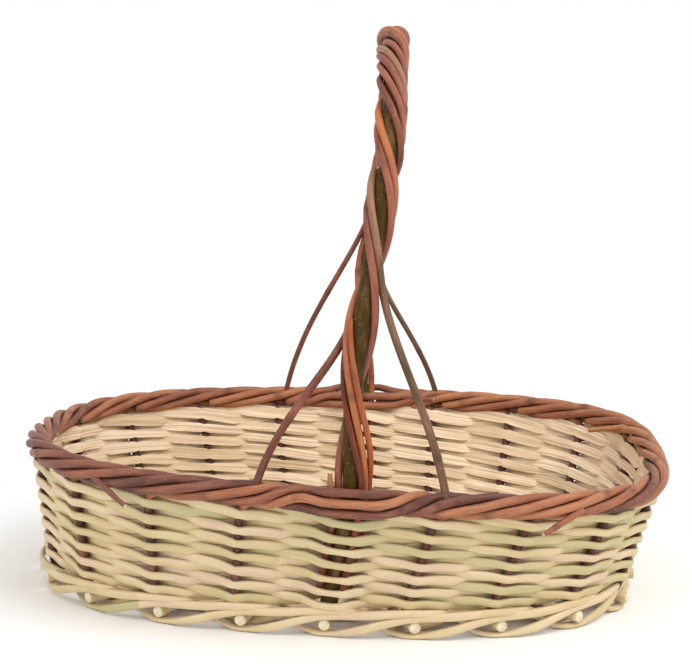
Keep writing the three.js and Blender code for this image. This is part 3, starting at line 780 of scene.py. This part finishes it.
def foot_curve(strand_number):
    """The strand's values by share, all the way round from the back."""
    last = FOOT_FIRST + STAKES
    knots = []
    for stake in range(FOOT_FIRST, last + 1):
        passed = (stake - strand_number) % FOOT_STRANDS
        for way, values in FOOT_RUN:
            if passed == way or (passed < way < passed + 1 and stake < last):
                knots.append((lerp(stick_share(stake), stick_share(stake + 1), way - passed), values))
    return eased(knots)


def foot_weaver(strand_number):
    letter = "abc"[strand_number]
    rng = random.Random(f"foot {letter}")
    canes = cane_lengths(rng, 0, STAKES)
    curve = foot_curve(strand_number)
    begin = stick_share(FOOT_FIRST)
    stations = []
    for step in range(STAKES * FOOT_STEPS + 1):
        share = begin + clamp(step / (STAKES * FOOT_STEPS), FOOT_BUTT, 1 - FOOT_BUTT)
        height, out, tall, thick = curve(share)
        out -= drawn_in(share % 1) * smoothstep(out, *DRAWN_OUT)
        stations.append((share, height, out, tall, thick, canes[step // FOOT_STEPS][0]))
    rings, grain, look = cane_rings(stations, foot_frame, rng.uniform(*SEEDS))
    node = f"foot_weaver_{letter}" if letter in "ab" else None
    strand(f"foot_cane_{letter}", node, cane, cane_cut, rings, grain, look)


for strand_number in range(FOOT_STRANDS):
    foot_weaver(strand_number)

# Rope border: each strand winds round the rope's centre line and parts round the handle legs
LEG_FLAT = WRAP_REACH + ROD_RADIUS + WRAP_GAP
LEG_PART = CORE / 2 + ROD_RADIUS + 2 * WRAP_GAP
OUTER_SLOTS = 3  # strands that pass a leg outside
LEG_PARTS = (3.2, 3.2, 2.4, 2.8, 2.8)  # where each leaves the rope, over LEG_FLAT
HELD = (1.5 * LEG_FLAT, 4.8 * LEG_FLAT)  # the twist held back beside a leg is made up between these
STRAND_LENGTH = STRANDS * SPACING
TURN_LENGTH = STRAND_LENGTH / STRAND_TURNS
ROPE_STEP = 5


def rope_point(distance, out, up):
    centre, outward, _ = level_frame(distance / RIM_ROUND, RIM_Z + up, RIM_Z)
    return centre + outward * out


def from_nearest_leg(distance):
    half = RIM_ROUND / 2
    leg = round(distance / half)
    return distance - leg * half - leg_set(leg * HALF)


def strand_offset(stake, distance):
    beside = from_nearest_leg(distance)
    held = 1 - smoothstep(abs(beside), *HELD)
    angle = TAU * (STRAND_START + (distance - held * beside - stake * SPACING) / TURN_LENGTH)
    free = Vector((math.cos(angle), math.sin(angle))) * ROPE_RADIUS
    slot = (round(STRAND_TURNS * (distance - beside - stake * SPACING) / SPACING) - 1) % STRANDS
    level = (ROD + 2 * WRAP_GAP) * (slot - 1 if slot < OUTER_SLOTS else OUTER_SLOTS + 0.5 - slot)
    out = LEG_PART if slot < OUTER_SLOTS else -LEG_PART
    parted = Vector((out + min(level, 0) * WALL_SLOPE, level))
    return parted.lerp(free, smoothstep(abs(beside), LEG_FLAT, LEG_PARTS[slot] * LEG_FLAT))


def spoke(stake):
    edge = wall_centre(stick_share(stake), BASE_Z)
    hub = hub_of(stake % STAKES)
    inward = hub - edge
    return edge, hub, inward.length, inward.normalized()


def stake_points(stake):
    inward = spoke(stake)[3]
    foot = wall_centre(stake / STAKES, BASE_Z)
    tail = [foot + inward * inset for inset in (STAKE_TAIL, STAKE_BEND, STAKE_BEND * BEND_MIDDLE)]
    tail[2].z += STAKE_BEND * BEND_MIDDLE
    neck = RIM_Z - ROPE_RADIUS - BORDER_BEND
    upright = [wall_centre(stake / STAKES, h) for h in (BASE_Z + STAKE_BEND, (BASE_Z + neck) / 2, neck)]
    begin = stake * SPACING
    inner = ROPE_RADIUS * math.cos(TAU * STRAND_START) / 2
    bend = rope_point(begin + BORDER_BEND * BEND_MIDDLE, inner, -ROPE_RADIUS - BORDER_BEND * BEND_MIDDLE)
    lengths = 2 if is_leg(stake + STRANDS) else 1
    run = lengths * STRAND_LENGTH - STAKE_BEND - BORDER_BEND
    count = round(run / ROPE_STEP)
    border = []
    for i in range(count + 1):
        distance = begin + BORDER_BEND + run * i / count
        border.append(rope_point(distance, *strand_offset(stake, distance)))
    return smooth_path([*tail, *upright, bend, *border])


# Base: cross sticks, split in the middle, with long sticks threaded through the splits
SPLIT_HEIGHT = LONG_STICK / 2 + GAP
SPLIT_WIDTH = 1.5 * (LONG_STICK + 2 * GAP)
SPLIT_WALL = 0.9
HUB_WIDTH = SPLIT_WIDTH + 2 * STICK_RADIUS
CROSS_HALF = 3  # cross sticks to each side of the middle one
HUB_LENGTH = HUB_PITCH * CROSS_HALF + STICK_RADIUS * 3
QUARTER = STAKES // 4
STICK_STEP = 4
STICK_TONE = 0.5


def hub_of(stake):
    side = 1 if (stake + CROSS_HALF) % STAKES < HALF else -1
    place = (stake + CROSS_HALF) % HALF - CROSS_HALF
    x, y = place * HUB_PITCH, -HUB_WIDTH
    if place > CROSS_HALF:
        x, y = HUB_LENGTH, (place - QUARTER) * (LONG_STICK + 2 * GAP)
    return Vector((*on_base(side * x, side * y), BASE_Z))


def stick_end(stake):
    edge, _, _, inward = spoke(stake)
    return edge - inward * STICK_PROUD


def split_cutter(middle):
    """A box that opens the split of one cross stick."""
    mesh = bpy.data.meshes.new("split_cutter")
    whole = bmesh.new()
    size = Matrix.Diagonal((4 * STICK, 2 * SPLIT_WIDTH, 2 * SPLIT_HEIGHT, 1))
    turn = Matrix.Translation(middle * MM) @ Matrix.Rotation(BASE_TURN, 4, "Z")
    bmesh.ops.create_cube(whole, size=1, matrix=turn @ Matrix.Scale(MM, 4) @ size)
    whole.to_mesh(mesh)
    whole.free()
    return new_object("split_cutter", mesh)


def open_split(piece, middle):
    cutter = split_cutter(middle)
    cut = piece.modifiers.new("split", "BOOLEAN")
    cut.object = cutter
    cut.solver = "EXACT"
    bpy.context.view_layer.update()
    evaluated = piece.evaluated_get(bpy.context.evaluated_depsgraph_get())
    opened = bpy.data.meshes.new_from_object(evaluated)
    piece.modifiers.clear()
    piece.data = opened
    bpy.data.objects.remove(cutter)


def cross_stick(number, place):
    front, back = (place + STAKES) % STAKES, HALF - place
    swell = [Vector((*on_base(place * HUB_PITCH, y), BASE_Z)) for y in (-SPLIT_WIDTH, SPLIT_WIDTH)]
    corners = [stick_end(front), spoke(front)[1], *swell, spoke(back)[1], stick_end(back)]
    points = smooth_path(corners, STICK_STEP)
    lengths = lengths_along(points)
    middle = swell[0].lerp(swell[1], 0.5)
    near = min(range(len(points)), key=lambda i: (points[i] - middle).length)
    extra = SPLIT_HEIGHT + STICK_RADIUS * SPLIT_WALL - STICK_RADIUS

    def high(share):
        away = abs(share * lengths[-1] - lengths[near])
        return STICK_RADIUS + extra * (1 - smoothstep(away, SPLIT_WIDTH, HUB_WIDTH))

    piece = rod(f"base_stick_{number}", f"cross_stick_{number}", "stick", peeled, points,
                lambda share: STICK_RADIUS, STICK_TONE, sides=16, joints=120, high=high)
    open_split(piece, middle)


def long_stick(number, lane):
    left, right = 3 * QUARTER - lane, QUARTER + lane
    corners = [stick_end(left), spoke(left)[1], spoke(right)[1], stick_end(right)]
    points = smooth_path(corners, STICK_STEP)
    inner = [(points[0] - hub).length / lengths_along(points)[-1] for hub in corners[1:3]]

    def radius(share):
        thick = smoothstep(share, inner[0], 0) + smoothstep(share, inner[1], 1)
        return lerp(LONG_STICK / 2, STICK_RADIUS, thick)

    rod(f"base_runner_{number}", f"long_stick_{number}", "stick", peeled, points, radius, STICK_TONE,
        sides=14, joints=150)


for number, place in enumerate(range(-CROSS_HALF, CROSS_HALF + 1), 1):
    cross_stick(number, place)
for number, lane in enumerate((-1, 0, 1), 1):
    long_stick(number, lane)

# Base weavers: flat cane rows over and under the sticks
HUB_INSET = 15
TAIL_LIFT = 5 * GAP  # extra, where the stakes' feet lie beside the sticks
FLAT_STEPS = 8
FLAT_SECTION = [(0.5, -0.3), (0.5, 0.3), (0.46, 0.5), (0, 0.56), (-0.46, 0.5), (-0.5, 0.3), (-0.5, -0.3),
                (-0.46, -0.5), (0, -0.5), (0.46, -0.5)]


def base_weaver(row):
    name = f"base_cane_{row + 1}"
    rng = random.Random(name)
    centres, inwards, wides, extras = [], [], [], []
    for stake in range(1, STAKES + 2):
        edge, _, length, inward = spoke(stake)
        pitch = (length - STAKE_BEND - HUB_INSET) / BASE_ROWS
        inset = STAKE_BEND + pitch * (row + 0.5)
        centres.append(edge + inward * inset)
        inwards.append(inward)
        wides.append(pitch - 2 * GAP)
        extras.append(TAIL_LIFT if inset - pitch / 2 < STAKE_TAIL + GAP else 0)
    clear = STICK_RADIUS + GAP + BASE_CANE / 2
    last = len(centres) - 1
    lifts = []
    for i, centre in enumerate(centres):
        half = min((centres[i - 1 if i else last - 1] - centre).length,
                   (centres[i + 1 if i < last else 1] - centre).length) / 2
        lifts.append(in_front(i + 1, row) * (clear / math.sqrt(1 - (clear / half) ** 2) + extras[i]))
    rings, grain, look = [], [], []
    canes = cane_lengths(rng, 1, STAKES + 1)
    walked = 0.0
    for step in range(1, last * FLAT_STEPS):
        i, u = divmod(step, FLAT_STEPS)
        u /= FLAT_STEPS
        swing = lerp(lifts[i], lifts[i + 1], 0.5 - 0.5 * math.cos(math.pi * u))
        centre = centres[i].lerp(centres[i + 1], u) + UP * swing
        inward = inwards[i].lerp(inwards[i + 1], u).normalized()
        wide = lerp(wides[i], wides[i + 1], u)
        walked += (centres[i + 1] - centres[i]).length / FLAT_STEPS
        rings.append([centre + inward * (a * wide) + UP * (b * BASE_CANE) for a, b in FLAT_SECTION])
        grain.append([(walked, a * wide + (SPLIT_APART if b < 0 else 0), step) for a, b in FLAT_SECTION])
        look.append([(canes[i][0], 1.0 if b > 0 else 0.0, 0.0) for a, b in FLAT_SECTION])
    strand(name, f"base_weaver_{row + 1}", cane, cane_cut, rings, grain, look)


for row in range(BASE_ROWS):
    base_weaver(row)

# Stakes, each thinner towards its tip in the border: tones by stake, darker along the front left, and
# painted shade below the border
STAKE_TONES = ((4, (0.55, 0.95)), (11, (0.5, 1.0)), (17, (0.12, 0.5)), (19, (0.5, 0.95)))
STAKE_TIP = 0.9
UPRIGHT = STAKE_TAIL + RIM_Z - BASE_Z
# The tail and the upright part of each stake, which show in the gaps between the canes, get a much darker
# tone: painted shade
UPRIGHT_SHADE_TONE = 0.0


def willow_stake(stake):
    span = next(tones for last, tones in STAKE_TONES if stake <= last)
    tone = random.Random(f"stake tone {stake}").uniform(*span)
    rod(f"willow_stake_{stake:02d}", f"stake_{stake:02d}", "willow", willow, stake_points(stake),
        lambda share: ROD_RADIUS * lerp(1, STAKE_TIP, share), tone, joints=75,
        shaded=(UPRIGHT_SHADE_TONE, UPRIGHT, 0))


for stake in range(STAKES):
    if not is_leg(stake):
        willow_stake(stake)

# Tips tucked away along the middle of the rope, from leg to leg, and thicker at both ends, in a dark tone
# that paints the shade in the gaps between the rope's strands
FILLER_RADIUS = ROPE_RADIUS - ROD_RADIUS
FILLER_END = 11
FILLER_SWELL = 1.0
SWELL_FROM = (0.45, 0.48)
# Dark: painted shade in the gaps of the rope
FILLER_SHADE_TONE = 0.1


def border_filling(number, leg):
    first = leg * SPACING + leg_set(leg) + FILLER_END
    last = first + RIM_ROUND / 2 - 2 * FILLER_END + leg_set(leg + HALF) - leg_set(leg)
    count = round((last - first) / ROPE_STEP)
    run = [rope_point(lerp(first, last, i / count), 0, 0) for i in range(count + 1)]

    def radius(share):
        return FILLER_RADIUS * (1 + FILLER_SWELL * smoothstep(abs(share - 0.5), *SWELL_FROM))

    rod(f"border_filling_{number}", None, "willow", willow, run, radius, FILLER_SHADE_TONE, sides=8)


for number, leg in ((1, 0), (2, HALF)):
    border_filling(number, leg)

# Rod tips that stand out of the border: the run along it, out and up at the root and at the tip, and tone
TIPS = (
    (-148, 4, 1, -121, 9, -13, 0.35), (137, 5, -2, 112, 9, -14, 0.55),
    (338, -2, 2, 347, -27, -1, 0.85), (528, -3, 3, 500, -9, 2, 0.6), (-6, 3, -2, -6.5, 4, 16, 1.0),
)
TIP_SIZES = (0.8, 0.5)
TIP_STEP = 2


def rod_tip(number, root, root_out, root_up, end, end_out, end_up, tone):
    points = [rope_point(lerp(root, end, t), lerp(root_out, end_out, t), lerp(root_up, end_up, t))
              for t in (0, 0.35, 0.7, 1)]
    rod(f"border_tip_{number}", None, "willow", willow, smooth_path(points, TIP_STEP),
        lambda share: ROD_RADIUS * lerp(*TIP_SIZES, share), tone, joints=60)


for number, tip in enumerate(TIPS, 1):
    rod_tip(number, *tip)

# Handle: a stout core, rods wound round it, and rods that leave it as braces
FOOT_HEIGHT = BASE_Z + STICK_RADIUS + GAP + CORE / 2 * WALL_SLOPE
LEG_HEIGHTS = (FOOT_HEIGHT, (BASE_Z + RIM_Z) / 2, RIM_Z - ROPE_HALF)
ARCH_POINTS = 24
HANDLE_STEP = 1.5


def leg_point(stake, height):
    return wall_centre(stake / STAKES + share_of(leg_set(stake), height), height)


def arch_point(angle):
    way = (1 - squarish(math.cos(angle), ARCH_SQUARENESS)) / 2
    point = leg_point(0, RIM_Z).lerp(leg_point(HALF, RIM_Z), way)
    point.x += HANDLE_LEAN * smoothstep(math.sin(angle), *LEAN_SPAN)
    return point + UP * ((HANDLE_Z - RIM_Z) * squarish(math.sin(angle), ARCH_SQUARENESS))


handle = Path(smooth_path([
    *(leg_point(0, height) for height in LEG_HEIGHTS),
    *(arch_point(math.pi * i / ARCH_POINTS) for i in range(ARCH_POINTS + 1)),
    *(leg_point(HALF, height) for height in reversed(LEG_HEIGHTS)),
], HANDLE_STEP))
WRAP_START = (RIM_Z + ROPE_HALF + WRAP_STRAIGHT - FOOT_HEIGHT) / handle.length
WRAP_FOOT = (RIM_Z - WRAP_DEPTH - FOOT_HEIGHT) / handle.length

# The wound rods are drawn a little thinner and tighter than in the part's source, apart from the crest
WRAP_ROD = 2.2  # radius
WRAP_TIGHT = CORE / 2 + WRAP_ROD
CREST = (0.02, 0.1)
WRAP_STEP = 4
BRACE_BUTT = 4.6
BRACE_TIP = 3.6
BRACE_SHADED = 150
BESIDE_TURN = 2 * math.asin((BRACE_BUTT / 2 + WRAP_ROD) / (2 * WRAP_TIGHT)) / TAU


def wound(share):
    way = clamp((share - WRAP_START) / (1 - 2 * WRAP_START))
    return HANDLE_TURNS * (way - TURN_EASE * math.sin(TAU * way) / TAU)


def share_wound(turns):
    halvings = 40
    low, high = 0.0, 1.0
    for _ in range(halvings):
        middle = (low + high) / 2
        if wound(middle) < turns:
            low = middle
        else:
            high = middle
    return low


def wrap_point(share, start_turn):
    along = handle.along(share)
    across = (Vector((1, 0, 0)) - along * along.x).normalized()
    angle = TAU * (start_turn + wound(share))
    round_core = across * math.cos(angle) + across.cross(along) * math.sin(angle)
    reach = lerp(WRAP_REACH, WRAP_TIGHT, smoothstep(abs(share - 0.5), *CREST))
    return handle.at(share) + round_core * reach


def wound_points(first, last, place):
    """Points along the handle: place gives one from the share along it and the way from first to last."""
    count = round((last - first) * handle.length / WRAP_STEP)
    return [place(lerp(first, last, i / count), i / count) for i in range(count + 1)]


def wrap_run(first, last, start_turn):
    return wound_points(first, last, lambda share, way: wrap_point(share, start_turn))


def wound_rod(name, node, finish, points, radius, tone, **more):
    rod(name, node, "wrapping", finish, smooth_path(points), radius, tone, **more)


def brace_run(share, start_turn, leg, side):
    """A curve from the wrapping down into the rope, where the brace's foot is pushed in."""
    pull, lean_in, near, steps, sunk = 0.3, 0.25, 0.004, 30, 0.3
    top = wrap_point(share, start_turn)
    before = wrap_point(share + (near if leg == 0 else -near), start_turn)
    foot = rope_point(leg * SPACING + leg_set(leg) + side * BRACE_SPREAD, 0, ROPE_RADIUS * sunk)
    span = (top - foot).length
    leave = top + (top - before).normalized() * span * pull
    arrive = (foot + UP * span * pull).lerp(leave, lean_in)
    run = []
    for i in range(1, steps + 1):
        t = i / steps
        s = 1 - t
        run.append(top * s ** 3 + leave * (3 * s * s * t) + arrive * (3 * s * t * t) + foot * t ** 3)
    return run


def brace_rod(name, start_turn, front_turn, back_turn, side, finish, brace_tone, tone):
    first = share_wound(front_turn - start_turn)
    last = share_wound(back_turn - start_turn)
    front = brace_run(first, start_turn, 0, side)[::-1]
    back = brace_run(last, start_turn, HALF, -side)
    points = [*front, *wrap_run(first, last, start_turn), *back]
    wound_rod(f"brace_{name}", f"brace_rod_{name}", finish, points,
              lambda share: lerp(BRACE_BUTT, BRACE_TIP, share) / 2, tone,
              shaded=(brace_tone, BRACE_SHADED, BRACE_SHADED))


CORE_TONE = 0.45
# The crest of the core is painted pale: worn bark, and a painted highlight where the light falls on the top
# of the arch
CORE_WEAR_AND_HIGHLIGHT = (0.495, 18, 0.6)
CORE_STEP = 4
rod("handle_hoop", "handle_core", "core", olive, smooth_path(handle.points[::4], CORE_STEP),
    lambda share: CORE / 2, CORE_TONE, sides=20, joints=140, worn=CORE_WEAR_AND_HIGHLIGHT)
for name, start_turn, tone in (("right", 0, 0.85), ("left", 0.5, 0.5)):
    wound_rod(f"wrapping_{name}", f"handle_wrap_{name}", wrapping,
              wrap_run(WRAP_FOOT, 1 - WRAP_FOOT, start_turn), lambda share: WRAP_ROD, tone)

# Braces: the turns at which each leaves the core in front and at the back, its side, bark and tones
LEFT_LEAVES = (0.625, HANDLE_TURNS - 0.625)
RIGHT_LEAVES = (1.125, HANDLE_TURNS - 0.125)
brace_rod("left", BESIDE_TURN, *LEFT_LEAVES, -1, wrapping, 0.22, 0.5)
brace_rod("right", 0.5 - BESIDE_TURN, *RIGHT_LEAVES, 1, dun, 0.4, 0.95)

# Shorter rods beside the near leg: each one's turn and extra reach at its foot, turn at its top, and tone
SHORT_RODS = ((BESIDE_TURN, 0.0, BESIDE_TURN, 0.2), (-0.06, 3.4, -BESIDE_TURN, 0.8))
SHORT_TOP = 0.625 - BESIDE_TURN
SHORT_MOVES = (0.55, 1.0)
SHORT_SIZES = (0.95, 0.7)


def short_rod(number, foot_turn, foot_reach, top_turn, tone):
    def place(share, way):
        moved = smoothstep(way, *SHORT_MOVES)
        point = wrap_point(share, lerp(foot_turn, top_turn, moved))
        out = (point - handle.at(share)).normalized()
        return point + out * lerp(foot_reach, 0.0, moved)

    wound_rod(f"short_wrapping_{number}", None, crimson,
              wound_points(WRAP_FOOT, share_wound(SHORT_TOP), place),
              lambda share: WRAP_ROD * lerp(*SHORT_SIZES, share), tone)


for number, values in enumerate(SHORT_RODS, 1):
    short_rod(number, *values)

# Rods that fill the twist over the arch: where along the handle each begins and ends, its turn and its tone
ARCH_RODS = (
    (0.33, 0.465, 0.25, 0.5), (0.3, 0.455, 0.62, 0.6), (0.31, 0.475, 0.76, 0.25),
    (0.54, 0.68, 0.25, 0.4), (0.545, 0.7, 0.75, 0.55),
)
ARCH_SIZE = 0.9
TUCK = 3.2
TUCK_LENGTH = 0.03


def arch_rod(number, first, last, turn, tone):
    def place(share, way):
        tucked = 1 - smoothstep(min(share - first, last - share), 0, TUCK_LENGTH)
        return wrap_point(share, turn).lerp(handle.at(share), tucked * TUCK / WRAP_TIGHT)

    wound_rod(f"arch_wrapping_{number}", None, wrapping, wound_points(first, last, place),
              lambda share: WRAP_ROD * ARCH_SIZE, tone)


for number, values in enumerate(ARCH_RODS, 1):
    arch_rod(number, *values)

# Stage: a pale floor under a white sky
WHITE = (1, 1, 1, 1)
FLOOR_HALF = 6.0
FLOOR_COLOUR = (0.92, 0.92, 0.92, 1)
FLOOR_ROUGHNESS = 0.9
SHADOW_OVAL = (0.75, 1.0, 0.0)
WHITE_FROM = 0.145
WHITE_BY = 0.29
SKY_COLOUR = (1.0, 0.985, 0.96, 1)
SKY_STRENGTH = 0.8
LAMPS_AIM = Vector((0, 0, 0.1))


def floor_finish():
    """White all round as the camera sees it, but with the basket's own shadow beneath and beside it."""
    f = Finish(bpy.data.materials.new("studio_floor"))
    f.surface(Base_Color=FLOOR_COLOUR, Roughness=FLOOR_ROUGHNESS)
    white = f.add("Emission", {"Color": WHITE, "Strength": 1.0})
    place = f.add("NewGeometry").outputs["Position"]
    oval_place = f.stretched(place, SHADOW_OVAL)
    away = f.add("VectorMath", {0: oval_place}, operation="LENGTH").outputs["Value"]
    share = f.calc(f.seen(), f.spread(away, WHITE_FROM, WHITE_BY, 0.0, 1.0), "MULTIPLY")
    f.whiten(share, white, "Material Output")
    return f.owner


def make_floor():
    mesh = bpy.data.meshes.new("studio_floor")
    corners = [(x * FLOOR_HALF, y * FLOOR_HALF, 0) for x, y in ((-1, -1), (1, -1), (1, 1), (-1, 1))]
    mesh.from_pydata(corners, [], [(0, 1, 2, 3)])
    mesh.materials.append(floor_finish())
    floor = new_object("studio_floor", mesh)


def make_sky():
    f = Finish(bpy.data.worlds.new("studio_sky"), "Background")
    f.surface(Color=SKY_COLOUR, Strength=SKY_STRENGTH)
    f.whiten(f.seen(), f.add("Background", {"Color": WHITE}), "World Output")
    bpy.context.scene.world = f.owner


def make_lamp(name, place, size, power):
    light = bpy.data.lights.new(name, "AREA")
    light.size = size
    light.energy = power
    lamp = new_object(name, light)
    lamp.location = place
    lamp.rotation_euler = (LAMPS_AIM - Vector(place)).to_track_quat("-Z", "Y").to_euler()


make_floor()
make_sky()
make_lamp("key_lamp", (1.0, -0.75, 1.6), 1.2, 22)
make_lamp("fill_lamp", (-1.2, -1.0, 0.9), 1.5, 8)

# Camera: as fitted to the border, the base and the stakes in the photograph
PHOTO = (692, 666)
VIEW_AZIMUTH = math.radians(1.38)
VIEW_ELEVATION = math.radians(8.4)
VIEW_ROLL = math.radians(0.93)
VIEW_DISTANCE = 1148.1
VIEW_TARGET = Vector((0, 0, 180))
FOCAL_PIXELS = 1829.1
TARGET_PIXEL = (350.95, 296.84)
SENSOR = 36.0


def make_camera():
    back = Vector((math.sin(VIEW_AZIMUTH) * math.cos(VIEW_ELEVATION),
                   -math.cos(VIEW_AZIMUTH) * math.cos(VIEW_ELEVATION), math.sin(VIEW_ELEVATION)))
    right = Vector((math.cos(VIEW_AZIMUTH), math.sin(VIEW_AZIMUTH), 0))
    up = back.cross(right)
    right, up = (right * math.cos(VIEW_ROLL) + up * math.sin(VIEW_ROLL),
                 up * math.cos(VIEW_ROLL) - right * math.sin(VIEW_ROLL))
    data = bpy.data.cameras.new("photo_camera")
    data.sensor_fit = "HORIZONTAL"
    data.sensor_width = SENSOR
    data.lens = FOCAL_PIXELS * SENSOR / PHOTO[0]
    data.shift_x = (PHOTO[0] / 2 - TARGET_PIXEL[0]) / PHOTO[0]
    data.shift_y = (TARGET_PIXEL[1] - PHOTO[1] / 2) / PHOTO[0]
    camera = new_object("photo_camera", data)
    turn = Matrix((right, up, back)).transposed().to_4x4()
    camera.matrix_world = Matrix.Translation((VIEW_TARGET + back * VIEW_DISTANCE) * MM) @ turn
    bpy.context.scene.camera = camera


make_camera()
bpy.context.scene.view_settings.view_transform = "Standard"
